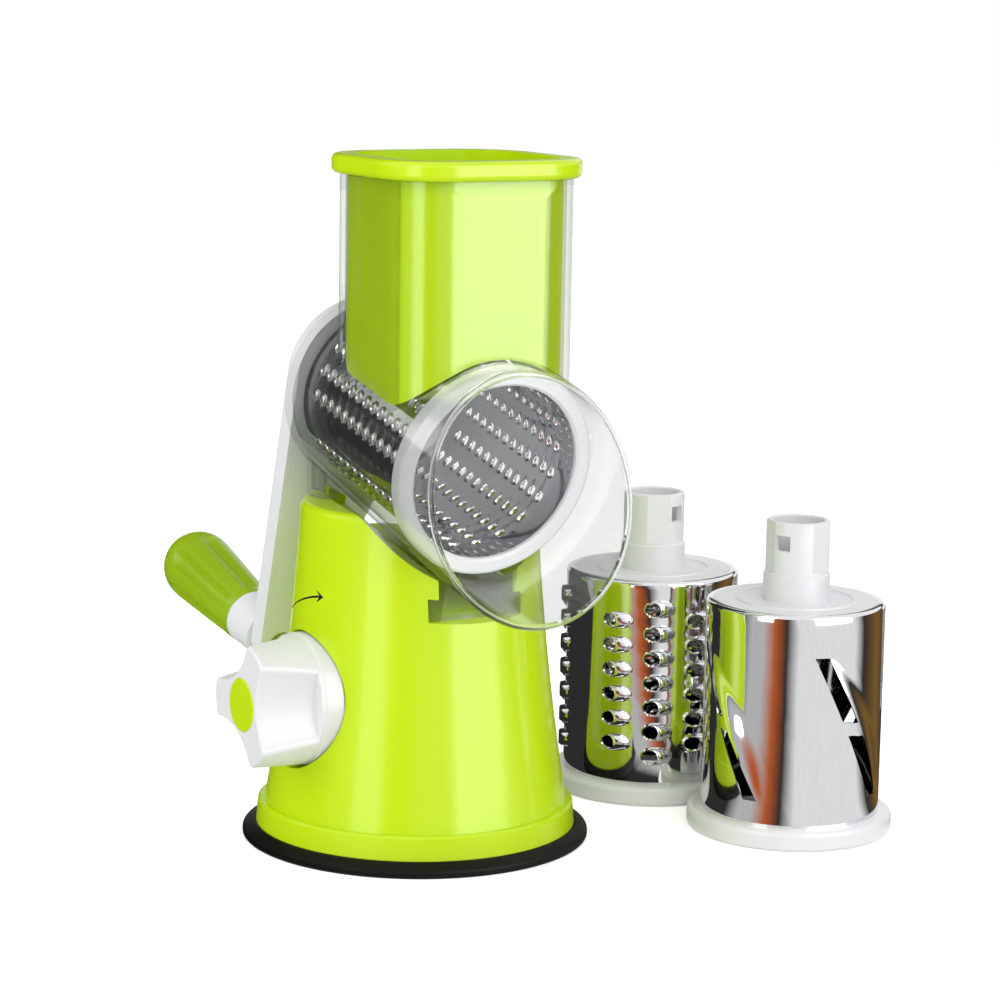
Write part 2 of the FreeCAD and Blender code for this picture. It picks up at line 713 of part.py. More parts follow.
def coarse_shell():
    hood = hood_form(0)
    bore = hood_form(sheet)
    step = 360 / coarse_positions
    slices = [(sheet_slice(step), coarse_phase - step)]
    for first, count, start in ((0, 6, coarse_first + coarse_pitch / 2), (1, 7, coarse_first)):
        places = [(0, start + tooth * coarse_pitch) for tooth in range(count)]
        toothed = punched_slice(step, repeated(hood, places), repeated(bore, places))
        for column in range(first, coarse_columns, 2):
            slices.append((toothed, coarse_phase + column * step))
    return closed_shell(slices, step)


# slicing drum: slots that run round as they rise, each with a bridge and a raised cutting edge
slicer_blades = 4
slot_low = 16.4
slot_high = 69.8
slot_twist = -0.86        # degrees round per millimetre of rise
slot_width = 5.4
slot_start = 21.0         # lower end of the slot, from the middle of its slice
slot_phase = -82.9
bridge_width = 5.0
blade_height = 1.7
blade_reach = 9.0


def slot_angle(z):
    return slot_start + slot_twist * (z - slot_low)


def skew_slot(low, high):
    """Slanting slot through the wall: a loft between tangential bars at stacked heights."""
    sections = []
    half = slot_width / 2
    for step in range(4):
        z = low + (high - low) * step / 3
        corners = [Vector(x, y, z) for x, y in ((drum_radius - 4, -half), (drum_radius + 6, -half),
                                                (drum_radius + 6, half), (drum_radius - 4, half))]
        sections.append(around(Part.makePolygon(corners + corners[:1]), slot_angle(z)))
    return Part.makeLoft(sections, True, True)


def blade_form(inset):
    """The sheet raised to one edge of the slot, highest halfway along, drawn in by inset."""
    sections = []
    steps = 6
    edge = slot_width / 2 - 0.4
    root = drum_radius - sheet - 0.4 - inset
    for step in range(steps + 1):
        z = slot_low + (slot_high - slot_low) * step / steps
        swell = 0.25 + 0.75 * sin(pi * step / steps)
        foot_y = edge + blade_reach * swell - 2 * inset
        foot_x = sqrt(drum_radius ** 2 - foot_y ** 2) - 0.3 - inset
        crest = drum_radius + blade_height * swell - inset
        corners = [Vector(root, edge - inset, z), Vector(crest, edge - inset, z),
                   Vector(foot_x, foot_y, z)]
        sections.append(around(Part.makePolygon(corners + corners[:1]), slot_angle(z)))
    return Part.makeLoft(sections, True, True)


def slicer_shell():
    middle = (slot_low + slot_high) / 2
    gap = bridge_width / 2
    step = 360 / slicer_blades
    bridge = block(drum_radius - 8, drum_radius + 6, -20, 20, middle - gap, middle + gap)
    under = blade_form(sheet).cut(around(bridge, slot_angle(middle)))
    holes = [skew_slot(slot_low, middle - gap), skew_slot(middle + gap, slot_high), under]
    bladed = punched_slice(step, [blade_form(0)], holes)
    slices = [(bladed, slot_phase + blade * step) for blade in range(slicer_blades)]
    return closed_shell(slices, step)


def make_drum(prefix, sheet_solid, hub_turn, placement):
    keep(prefix + "_ring", placed(drum_ring(), placement))
    keep(prefix + "_shell", placed(sheet_solid, placement))
    keep(prefix + "_hub", placed(around(drum_hub(), hub_turn), placement))


window_turn = -90.0       # the mounted drum's hub window points up
coarse_window = -73.0
slicer_window = -154.0


# ---------------------------------------------------------------- crank
crank_turn = 90 + crank_angle   # the arm's direction in the drum frame, from +X towards down


def teardrop(head, end, reach, z_low, z_high):
    """Plate with a round head at the axis and a round end at the reach along +X."""
    lean = degrees(pi / 2 - atan2(head - end, sqrt(reach ** 2 - (head - end) ** 2)))
    far = 360 - lean
    head_arc = Part.Arc(radial(head, lean), radial(head, 180), radial(head, far)).toShape()
    shift = Vector(reach, 0, 0)
    end_arc = Part.Arc(radial(end, far) + shift, radial(end, 0) + shift, radial(end, lean) + shift).toShape()
    upper = Part.LineSegment(radial(end, lean) + shift, radial(head, lean)).toShape()
    lower = Part.LineSegment(radial(head, far), radial(end, far) + shift).toShape()
    face = Part.Face(Part.Wire([head_arc, lower, end_arc, upper]))
    face.translate(Vector(0, 0, z_low))
    return face.extrude(Vector(0, 0, z_high - z_low))


def make_crank():
    arm = teardrop(head_radius, arm_end_radius, crank_reach, arm_front, arm_rear)
    rim_edges = [edge for edge in arm.Edges if abs(edge.CenterOfMass.z - arm_rear) < 0.01]
    arm = arm.makeFillet(2.4, rim_edges)
    hollow = teardrop(head_radius - arm_wall, arm_end_radius - arm_wall, crank_reach,
                      arm_front - 1, arm_rear - arm_web)
    arm = arm.cut(hollow)
    ribs = []
    for y in (-9.0, 0.0, 9.0):
        length = crank_reach - 6 if y == 0 else crank_reach * 0.57
        ribs.append(block(socket_outer - 1, length, y - 0.8, y + 0.8, cover_rear, arm_rear - 1))
    for share in (0.33, 0.53, 0.74):
        x = crank_reach * share
        ribs.append(block(x - 0.8, x + 0.8, -head_radius, head_radius, cover_rear, arm_rear - 1))
    inside = teardrop(head_radius - 1, arm_end_radius - 1, crank_reach, arm_front, arm_rear)
    ribs = [rib.common(inside) for rib in ribs]
    socket = turned(
        (0, socket_front), (socket_outer - 0.8, socket_front), (socket_outer, socket_front + 0.8),
        (socket_outer, arm_rear), (socket_outer + 3.5, arm_rear),
        ((socket_outer + 2.2, arm_rear + 5.2), (socket_outer - 1.5, socket_rear)), (0, socket_rear))
    end_boss = rod(arm_end_radius - 1, cover_rear, arm_rear, crank_reach)
    stub = Part.makeCone(arm_end_radius + 1.2, grip_small_radius - 0.2, grip_start - sheet_gap - arm_rear + 0.5,
                         Vector(crank_reach, 0, arm_rear - 0.5))
    arm = arm.multiFuse(ribs + [socket, end_boss, stub])
    bore = rod(hub_radius + sheet_gap, socket_front - 1, hub_top + sheet_gap)
    arm = arm.cut(bore)
    arm = arm.cut(rod(collar_radius + sheet_gap, socket_front - 1, collar_top + collar_step + sheet_gap))
    arm = arm.cut(rod(button_radius + sheet_gap, hub_top, socket_rear + 5))
    arm = arm.cut(rod(pin_radius, arm_front - 1, grip_start + 1, crank_reach))
    arm = arm.cut(rod(pin_head_radius, arm_front - 1, arm_front + pin_head_height + 0.6, crank_reach))
    arm = around(arm, crank_turn)
    key = block(hub_radius - flat_depth + sheet_gap, hub_radius + 2, -5.6, 5.6,
                flat_start + sheet_gap, hub_top + sheet_gap)
    arm = arm.multiFuse([around(key, window_turn + flat_angle + 120 * index) for index in range(3)])
    slot = block(hub_radius - 1, leaf_radius + 2.2, -leaf_width / 2 - 0.3, leaf_width / 2 + 0.3,
                 leaf_start, socket_rear - 1.4)
    arm = arm.cut(around(slot, window_turn))
    keep("crank_arm", placed(arm.removeSplitter(), DRUM_FRAME))
    fit = 0.05
    cover = teardrop(head_radius - arm_wall - fit, arm_end_radius - arm_wall - fit, crank_reach,
                     arm_front, cover_rear - fit)
    cover = cover.cut(rod(socket_outer + fit, socket_front, arm_rear))
    cover = cover.cut(rod(pin_head_radius + sheet_gap, socket_front, arm_rear, crank_reach))
    keep("arm_cover", placed(around(cover, crank_turn), DRUM_FRAME))
    make_latch()
    make_grip()


socket_outer = hub_radius + 5.0
cover_rear = arm_front + cover_thickness
pin_head_radius = pin_radius + 1.6
pin_head_height = 1.8
leaf_width = 5.0
leaf_radius = hub_radius + 1.7
leaf_thickness = 1.1
leaf_start = collar_top + 1.8


def make_latch():
    """Springy leaf with a tooth in the hub's window, and the button that lifts it."""
    leaf = block(leaf_radius, leaf_radius + leaf_thickness, -leaf_width / 2, leaf_width / 2,
                 leaf_start, socket_rear - 3.4)
    tooth = block(hub_radius - 1.4, leaf_radius + 0.2, -leaf_width / 2, leaf_width / 2,
                  window_middle - 2.2, window_middle + 2.2)
    leaf = around(leaf.fuse(tooth).removeSplitter(), window_turn)
    keep("latch_leaf", placed(leaf, DRUM_FRAME))
    flange = hub_bore - sheet_gap
    button = turned(
        (0, button_low), (flange, button_low), (flange, hub_top), (button_radius, hub_top),
        (button_radius, button_top - 1.6),
        ((button_radius - 0.5, button_top - 0.5), (button_radius - 1.6, button_top - 0.2)), (0, button_top))
    keep("release_button", placed(button, DRUM_FRAME))


button_low = hub_top - 2.2
button_top = socket_rear + button_travel + 3.2


def make_grip():
    start = grip_start
    end = grip_start + grip_length
    large = grip_large_radius
    body = turned(
        (0, start), (grip_small_radius - 0.8, start), (grip_small_radius, start + 0.8),
        (large, end - 3), (large, end), ((large * cos(radians(45)), end + large * sin(radians(45))),
                                         (0, end + large)))
    flute = Part.makeCone(flute_radius, flute_radius + 0.6, flute_length, Vector(0, 0, start + 4))
    flute = flute.fuse(Part.makeSphere(flute_radius + 0.6, Vector(0, 0, start + 4 + flute_length)))
    for index in range(grip_flutes):
        angle = 30 + index * 360 / grip_flutes
        tip_low = radial(grip_small_radius + flute_radius - flute_depth, angle, start + 4)
        tip_high = radial(large + flute_radius - flute_depth, angle, start + 4 + flute_length)
        lean = Rotation(Z_AXIS, tip_high - tip_low)
        groove = flute.copy()
        groove.Placement = Placement(tip_low, lean).multiply(
            Placement(Vector(0, 0, -start - 4), Rotation())).multiply(groove.Placement)
        body = body.cut(groove)
    body = body.cut(rod(pin_radius + running_gap, start - 1, pin_end))
    body = body.cut(rod(pin_radius + 1.9 + sheet_gap, pin_end - 3.6, pin_end))
    keep("grip", placed(shifted(body), DRUM_FRAME))
    pin = rod(pin_radius, arm_front + 0.6, pin_end - sheet_gap)
    pin = pin.fuse(rod(pin_head_radius, arm_front + 0.6, arm_front + 0.6 + pin_head_height)).removeSplitter()
    clip = rod(pin_radius + 1.9, pin_end - 2.6, pin_end - 1.2).cut(rod(pin_radius, start, pin_end + 5))
    keep("grip_pin", placed(shifted(pin), DRUM_FRAME))
    keep("grip_clip", placed(shifted(clip), DRUM_FRAME))


flute_radius = 4.6
flute_length = grip_length - 9.0
pin_end = grip_start + grip_length - 9.0


def shifted(shape):
    """Moves a shape made about the drum axis out to the crank's end."""
    copy = shape.copy()
    copy.translate(radial(crank_reach, crank_turn))
    return copy


# ---------------------------------------------------------------- build
make_suction_foot()
make_base_shell()
make_base_plate()
make_lifting_gear()
make_knob()
make_housing()
make_pusher()
make_drum("fine_drum", fine_shell(), window_turn, DRUM_FRAME)
coarse_place = Vector(foot_radius + ring_radius + coarse_room, coarse_y, 0)
make_drum("coarse_drum", coarse_shell(), coarse_window, Placement(coarse_place, Rotation()))
slicer_place = coarse_place + radial(2 * ring_radius + spare_gap, slicer_bearing)
make_drum("slicer_drum", slicer_shell(), slicer_window, Placement(slicer_place, Rotation()))
make_crank()

for name, shape in pieces.items():
    shape.exportStep("parts/" + name + ".step")
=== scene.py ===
import math
from collections import namedtuple
import bpy
import bmesh
from mathutils import Matrix, Vector


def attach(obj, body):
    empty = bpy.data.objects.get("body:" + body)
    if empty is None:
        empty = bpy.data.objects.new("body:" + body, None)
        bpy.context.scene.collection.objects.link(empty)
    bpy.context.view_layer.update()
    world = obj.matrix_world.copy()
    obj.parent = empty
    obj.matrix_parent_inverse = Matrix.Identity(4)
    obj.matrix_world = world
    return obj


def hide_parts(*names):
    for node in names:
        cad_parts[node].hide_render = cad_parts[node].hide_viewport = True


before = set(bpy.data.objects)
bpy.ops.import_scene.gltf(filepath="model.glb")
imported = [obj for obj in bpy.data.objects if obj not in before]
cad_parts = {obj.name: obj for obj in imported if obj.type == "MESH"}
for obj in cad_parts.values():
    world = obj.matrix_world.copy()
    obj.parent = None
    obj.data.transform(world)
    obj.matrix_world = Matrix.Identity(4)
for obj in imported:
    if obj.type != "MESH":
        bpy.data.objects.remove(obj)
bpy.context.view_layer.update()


# ---------------------------------------------------------------------------
# Suction foot: a thick black rubber membrane with a rounded outer bead. It is
# moulded in one piece and its rim is held between the base's flange and the
# plate inside.
class Value:
    """A shader socket that takes part in plain arithmetic."""

    def __init__(self, tree, socket):
        self.tree = tree
        self.socket = socket

    def combined(self, operation, first, second):
        made = self.tree.nodes.new("ShaderNodeMath")
        made.operation = operation
        for slot, item in zip(made.inputs, (first, second)):
            if isinstance(item, Value):
                self.tree.links.new(item.socket, slot)
            else:
                slot.default_value = item
        return Value(self.tree, made.outputs[0])

    def __add__(self, other):
        return self.combined("ADD", self, other)

    def __radd__(self, other):
        return self.combined("ADD", other, self)

    def __mul__(self, other):
        return self.combined("MULTIPLY", self, other)

    def __rmul__(self, other):
        return self.combined("MULTIPLY", other, self)

    def __pow__(self, other):
        return self.combined("POWER", self, other)


class Shader:
    """A node tree, with one way to add any node."""

    def __init__(self, tree):
        self.tree = tree

    def set(self, made, sockets):
        for name, item in sockets.items():
            slot = made.inputs[name.replace("_", " ")] if isinstance(name, str) else made.inputs[name]
            if isinstance(item, Value):
                self.tree.links.new(item.socket, slot)
            else:
                slot.default_value = item

    def node(self, kind, settings=None, sockets=None, output=0):
        made = self.tree.nodes.new("ShaderNode" + kind)
        for name, item in (settings or {}).items():
            if name == "stops":
                ramp = made.color_ramp.elements
                ramp[0].position, ramp[0].color = item[0]
                ramp[1].position, ramp[1].color = item[-1]
                for position, colour in item[1:-1]:
                    ramp.new(position).color = colour
            else:
                setattr(made, name, item)
        self.set(made, sockets or {})
        return Value(self.tree, made.outputs[output])

    def place(self):
        return self.node("TexCoord", output="Object")

    def noise(self, scale, detail=3.0, stretch=None):
        where = self.place()
        if stretch:
            where = self.node("Mapping", sockets={"Vector": where, "Scale": stretch})
        return self.node("TexNoise", sockets={"Vector": where, "Scale": scale, "Detail": detail})

    def blend(self, factor, low, high):
        """A colour between two; the colour sockets share their names with others, so they go by place."""
        factor_in, low_in, high_in, colour_out = 0, 6, 7, 2
        colours = {factor_in: factor, low_in: low, high_in: high}
        return self.node("Mix", {"data_type": "RGBA"}, colours, colour_out)

    def bump(self, height, strength, distance):
        return self.node("Bump", sockets={"Strength": strength, "Distance": distance, "Height": height})

    def mix(self, factor, first, second):
        return self.node("MixShader", sockets={0: factor, 1: first, 2: second})

    def larger(self, first, second):
        return self.node("Math", {"operation": "MAXIMUM"}, {0: first, 1: second})

    def seen(self):
        """One for the rays that show a thing to the eye, straight on, mirrored or through glass."""
        direct = self.node("LightPath", output="Is Camera Ray")
        mirrored = self.node("LightPath", output="Is Glossy Ray")
        through = self.node("LightPath", output="Is Transmission Ray")
        return self.larger(self.larger(direct, mirrored), through)


class Finish(Shader):
    """A material built on one Principled surface."""

    def __init__(self, name, **sockets):
        self.material = bpy.data.materials.new(name)
        self.material.use_nodes = True
        super().__init__(self.material.node_tree)
        self.surface = self.tree.nodes["Principled BSDF"]
        self.use(**sockets)

    def use(self, **sockets):
        self.set(self.surface, sockets)

    def principled(self):
        return Value(self.tree, self.surface.outputs[0])

    def show(self, shader):
        self.set(self.tree.nodes["Material Output"], {"Surface": shader})


def linear(red, green, blue):
    """Scene-linear colour from the everyday 0 to 255 scale."""
    made = []
    for part in (red, green, blue):
        part = part / 255
        made.append(part / 12.92 if part <= 0.04045 else ((part + 0.055) / 1.055) ** 2.4)
    return (*made, 1.0)


def new_piece(name, points, faces, finish, sharp_from=40):
    """A mesh piece in metres from points in millimetres; edges sharper than sharp_from degrees stay sharp."""
    mesh = bpy.data.meshes.new(name)
    mesh.from_pydata([(x / 1000, y / 1000, z / 1000) for x, y, z in points], [], faces)
    mesh.update()
    piece = bpy.data.objects.new(name, mesh)
    bpy.context.scene.collection.objects.link(piece)
    mesh.materials.append(finish.material)
    mesh.shade_smooth()
    if sharp_from:
        mesh.set_sharp_from_angle(angle=math.radians(sharp_from))
    return piece


def lathe(profile, count=160):
    """Points and faces of a closed profile of (radius, height) turned about the upright axis."""
    points = []
    faces = []
    for step in range(count):
        turn = 2 * math.pi * step / count
        for radius, height in profile:
            points.append((radius * math.cos(turn), radius * math.sin(turn), height))
    rows = len(profile)
    for step in range(count):
        here = step * rows
        there = (step + 1) % count * rows
        for row in range(rows):
            upper = (row + 1) % rows
            faces.append((here + row, there + row, there + upper, here + upper))
    return points, faces


def rounded(corners, steps=5):
    """Profile through (radius, height, rounding) corners, with each corner rounded off."""
    made = []
    count = len(corners)
    for index, (x, z, reach) in enumerate(corners):
        here = Vector((x, z))
        if not reach:
            made.append((x, z))
            continue
        before = Vector(corners[index - 1][:2])
        after = Vector(corners[(index + 1) % count][:2])
        start = here + (before - here).normalized() * reach
        end = here + (after - here).normalized() * reach
        for step in range(steps + 1):
            share = step / steps
            point = start * (1 - share) ** 2 + here * 2 * share * (1 - share) + end * share ** 2
            made.append((point.x, point.y))
    return made


foot_radius = 62.5
foot_low = 0.02           # a hair over the worktop
foot_top = 4.95           # and under the base's flange
foot_middle = 0.01        # radius that closes the membrane at its middle
membrane_top = 2.78
membrane_relief = 0.8     # the membrane stands clear of the worktop between its middle and its rim

rubber = Finish("black_rubber", Specular_IOR_Level=0.12)
grain = rubber.noise(900, 4)
rubber.use(
    Base_Color=rubber.blend(rubber.noise(60), linear(9, 9, 8), linear(20, 20, 18)),
    Roughness=0.38 + 0.2 * grain,
    Normal=rubber.bump(grain, 0.15, 0.0002))
foot_profile = rounded([
    (foot_middle, foot_low + 0.02, 0), (22, foot_low, 0),
    (24, membrane_relief, 0), (45.3, membrane_relief, 0), (46.2, foot_low, 0.3),
    (foot_radius, foot_low, 1.0), (foot_radius - 0.02, 2.7, 0.9), (58.4, foot_top, 0.4),
    (48.4, foot_top, 0), (47.0, membrane_top, 0), (foot_middle, membrane_top, 0)])
foot = new_piece("suction_foot_rubber", *lathe(foot_profile), rubber)
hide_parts("suction_cup")
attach(foot, "base")


# ---------------------------------------------------------------------------
# Base: one glossy lime moulding, waisted above a stepped flange. Its top is
# hollowed for the housing, and a T slot runs through it for the housing's rail.
def dress(node, finish):
    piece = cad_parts[node]
    piece.data.materials.clear()
    piece.data.materials.append(finish.material)
    piece.data.shade_smooth()


def moulded(name, colour, deep, roughness):
    """Injection moulded plastic: faint flow marks, slight waviness, a little uneven gloss."""
    made = Finish(name, IOR=1.5)
    flow = made.noise(28, 2, (1, 1, 0.35))
    skin = made.noise(1400, 2)
    made.use(
        Base_Color=made.blend(flow, deep, colour),
        Roughness=roughness + 0.08 * flow + 0.05 * skin,
        Normal=made.bump(0.7 * flow + 0.02 * skin, 0.25, 0.0006))
    return made


lime = moulded("lime_gloss", linear(196, 227, 4), linear(190, 221, 1), 0.13)
dress("base_shell", lime)


# ---------------------------------------------------------------------------
# Base plate and its screws: a dark moulding that closes the base from below
# and guides the lifting stem. Four screws hold it to the base's bosses.
dark = moulded("dark_moulding", linear(42, 42, 42), linear(34, 34, 34), 0.45)
plain_steel = Finish("turned_steel", Metallic=1.0)
brush = plain_steel.noise(700, 3, (1, 1, 0.1))
plain_steel.use(
    Base_Color=plain_steel.blend(brush, linear(150, 150, 152), linear(190, 190, 192)),
    Roughness=0.28 + 0.18 * brush)
dress("base_plate", dark)
dress("base_screws", plain_steel)


# ---------------------------------------------------------------------------
# Lifting gear: the knob's steel shaft runs in a dark bush and turns a white
# eccentric in the window of a yoke, which draws the membrane's disc upwards.
white = moulded("white_moulding", linear(229, 230, 232), linear(223, 224, 226), 0.28)
for node in ("lift_disc", "lift_stem", "cam"):
    dress(node, white)
dress("cam_shaft", plain_steel)
dress("shaft_bushing", dark)


# ---------------------------------------------------------------------------
# Clamp knob: a white three-lobed moulding on a round skirt, held on the shaft
# by a screw under a green cap.
dress("knob", white)
dress("knob_screw", plain_steel)
dress("knob_cap", lime)


# ---------------------------------------------------------------------------
# Turning sign: a black arrow printed on the base above the knob, which shows
# the way to clamp. Its line climbs round the flank and levels off at the tip.
flank = ((54.4, 13.4), (47.9, 58.0), (42.2, 122.0))    # radius and height at the flange, waist and top
ink_depth = 0.05
arrow_tail = 158.5        # degrees round the base, as the next four
arrow_neck = 190.3
arrow_tip = 193.0
arrow_barbs = ((188.1, 89.4), (187.5, 93.8))    # each with its height
arrow_level = 192.4       # where its line would run level
arrow_height = 91.85
arrow_climb = 0.0413
arrow_bend = 1.52
arrow_thin = 0.2          # half its width at the tail; the neck is twice as wide

ink = Finish("black_print")
worn = ink.noise(2600, 3)
ink.use(Base_Color=ink.blend(worn, linear(12, 14, 4), linear(32, 36, 12)), Roughness=0.4 + 0.2 * worn)


def flank_circle():
    """Middle and radius of the arc through the flank's three points."""
    (x1, z1), (x2, z2), (x3, z3) = flank
    solve = Matrix(((2 * (x2 - x1), 2 * (z2 - z1)), (2 * (x3 - x1), 2 * (z3 - z1)))).inverted()
    middle = solve @ Vector((x2 ** 2 - x1 ** 2 + z2 ** 2 - z1 ** 2, x3 ** 2 - x1 ** 2 + z3 ** 2 - z1 ** 2))
    return middle, math.hypot(x1 - middle.x, z1 - middle.y)


flank_middle, flank_radius = flank_circle()


def on_flank(turn, z, proud=0.06):
    """Point on the base's flank, a hair proud of its skin; turn in degrees."""
    radius = flank_middle.x - math.sqrt(flank_radius ** 2 - (z - flank_middle.y) ** 2) + proud
    turn = math.radians(turn)
    return (radius * math.cos(turn), radius * math.sin(turn), z)


def arrow_band(steps=24):
    """The arrow's line, which widens towards its neck, and its barbed head."""
    points = []
    faces = []
    for step in range(steps + 1):
        share = step / steps
        turn = arrow_tail + (arrow_neck - arrow_tail) * share
        height = arrow_height - arrow_climb * (arrow_level - turn) ** arrow_bend
        half = arrow_thin * (1 + share)
        for side in (-half, half):
            points.append(on_flank(turn, height + side))
    for step in range(steps):
        faces.append((2 * step, 2 * step + 2, 2 * step + 3, 2 * step + 1))
    head = len(points)
    lower_barb, upper_barb = arrow_barbs
    for turn, height in ((arrow_neck, arrow_height), lower_barb, (arrow_tip, arrow_height), upper_barb):
        points.append(on_flank(turn, height))
    faces.append((head, head + 1, head + 2, head + 3))
    return points, faces


sign = new_piece("turning_arrow", *arrow_band(), ink, sharp_from=None)
sign_depth = sign.modifiers.new("thickness", "SOLIDIFY")
sign_depth.thickness = ink_depth / 1000
sign_depth.offset = -1
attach(sign, "base")


# ---------------------------------------------------------------------------
# Feed housing: one clear moulding of tube, chute, outlet shroud, rear legs and
# the rail that slides into the base. Its thin walls let light straight through,
# and only the outlet's thick rim bends it.
plastic_bend = 1.49       # refractive index
rim_middle = (0, -0.0789, 0.1332)    # of the outlet's oblique edge, in metres as the shader's places
rim_lean = math.radians(11.38)
rim_facing = (0, -math.cos(rim_lean), math.sin(rim_lean))
rim_bead = 0.0014
edge_darkening = 9.0      # the walls grey only where they are seen nearly edge on
wall_gloss = 0.38
rim_solid = 0.8           # share of the rim that bends light
wall_solid = 0.006        # and of the walls, at most

clear = Finish("clear_moulding", Transmission_Weight=1.0, IOR=plastic_bend)
haze = clear.noise(35, 2)
wave = clear.bump(haze, 0.12, 0.0004)
clear.use(
    Base_Color=clear.blend(haze, linear(244, 247, 246), linear(250, 252, 251)),
    Roughness=0.015 + 0.03 * haze,
    Normal=wave)
edge = clear.node("LayerWeight", sockets={"Blend": 0.5}, output="Facing")
straight = clear.node("BsdfTransparent", sockets={"Color": linear(251, 252, 251)})
# Painted shade: light passing a wall seen nearly edge on comes out grey, for the clear moulding's dark edge
# lines.
painted_edge_shade = clear.node("BsdfTransparent", sockets={"Color": linear(140, 148, 142)})
passing = clear.mix(edge ** edge_darkening, straight, painted_edge_shade)
mirror_share = clear.node("Fresnel", sockets={"IOR": plastic_bend})
mirror = clear.node("BsdfGlossy", sockets={"Color": (0.9, 0.9, 0.9, 1), "Roughness": 0.1, "Normal": wave})
wall = clear.mix(wall_gloss * mirror_share, passing, mirror)
from_rim = clear.node("VectorMath", {"operation": "SUBTRACT"}, {0: clear.place(), 1: rim_middle})
ahead = clear.node("VectorMath", {"operation": "DOT_PRODUCT"}, {0: from_rim, 1: rim_facing}, "Value")
on_rim = clear.node("Math", {"operation": "GREATER_THAN"}, {0: ahead, 1: -rim_bead})
body = clear.mix(wall_solid * haze + rim_solid * on_rim, wall, clear.principled())
shadow_ray = clear.node("LightPath", output="Is Shadow Ray")
clear.show(clear.mix(shadow_ray, body, passing))
dress("housing", clear)


# ---------------------------------------------------------------------------
# Pusher: a hollow lime moulding with a rolled rim, which hangs in the chute by
# that rim and presses the food onto the drum.
dress("pusher", lime)


# ---------------------------------------------------------------------------
# Fine drum, in the housing's tube: polished steel sheet, punched flat, rolled up
# and lapped at a seam, with its upper rim curled over a white end disc and its
# mouth in a white ring.
sheet_radius = 32.6
sheet_thickness = 0.6
sheet_low = 2.4           # its lower edge, in the ring
drum_length = 84.9
rim_curl = 1.5
rim_reach = 3.0           # the curled rim ends this far inside
join_within = 0.002       # points of neighbouring cells nearer than this are one
cut_edge = 50             # degrees; the edges of the punched openings are sharper
drum_tilt = math.radians(13.13)    # it rises towards the crank
mouth_y = -0.0545
mouth_z = 0.1391
mounted = Matrix((
    (1, 0, 0, 0),
    (0, math.sin(drum_tilt), math.cos(drum_tilt), mouth_y),
    (0, -math.cos(drum_tilt), math.sin(drum_tilt), mouth_z),
    (0, 0, 0, 1)))

chrome = Finish("polished_sheet", Metallic=1.0)
ripple = chrome.noise(22, 2, (1, 1, 0.25))
scratch = chrome.noise(2200, 2, (1, 1, 0.04))
chrome.use(
    Base_Color=chrome.blend(scratch, linear(222, 222, 224), linear(238, 238, 240)),
    Roughness=0.035 + 0.05 * scratch,
    Normal=chrome.bump(ripple + 0.01 * scratch, 0.35, 0.0005))

# A tooth stands on an oval of half_wide by half_tall, lead off its cell's middle, and leans over to an oval
# mouth of mouth_wide by mouth_tall at mouth_at. Its hood is height tall, and its other side lip of that.
Tooth = namedtuple("Tooth", "half_wide half_tall lead mouth_wide mouth_tall mouth_at height lip")


def sheet_rim(steps=5):
    """Radii and heights of the curled upper rim."""
    rows = [(sheet_radius, drum_length - rim_curl)]
    for step in range(1, steps + 1):
        turn = math.pi / 2 * step / steps
        rows.append((sheet_radius - rim_curl + rim_curl * math.cos(turn),
                     drum_length - rim_curl + rim_curl * math.sin(turn)))
    rows.append((sheet_radius - rim_reach, drum_length))
    return rows


def tooth_rings(border, tooth, rings):
    """Rings of (across, up, rise) from a flat one round the tooth's foot, in over its flank, to its mouth."""
    skirt = -0.08         # of the way to the mouth, so just outside the foot
    fullness = 0.8        # below 1 the hood keeps its height further round
    widest = max(abs(across) for across, _ in border)
    tallest = max(abs(up) for _, up in border)
    made = []
    for ring in range(-1, rings + 1):
        share = ring / rings if ring >= 0 else skirt
        row = []
        for across, up in border:
            turn = math.atan2(up / tallest, across / widest)
            foot_at = (tooth.lead + tooth.half_wide * math.cos(turn), tooth.half_tall * math.sin(turn))
            mouth_at = (tooth.mouth_at + tooth.mouth_wide * math.cos(turn), tooth.mouth_tall * math.sin(turn))
            lean = tooth.lip + (1 - tooth.lip) * ((1 + math.cos(turn)) / 2) ** fullness
            rise = tooth.height * lean * math.sin(max(0, share) * math.pi / 2)
            row.append((foot_at[0] * (1 - share) + mouth_at[0] * share,
                        foot_at[1] * (1 - share) + mouth_at[1] * share, rise))
        made.append(row)
    return made


def cell_border(half_wide, half_tall, across_steps, up_steps):
    """Points round a cell of the sheet, from its lower left corner."""
    border = []
    for step in range(across_steps):
        border.append((2 * half_wide * (step / across_steps - 0.5), -half_tall))
    for step in range(2 * up_steps):
        border.append((half_wide, half_tall * (step / up_steps - 1)))
    for step in range(across_steps):
        border.append((2 * half_wide * (0.5 - step / across_steps), half_tall))
    for step in range(2 * up_steps):
        border.append((-half_wide, half_tall * (1 - step / up_steps)))
    return border


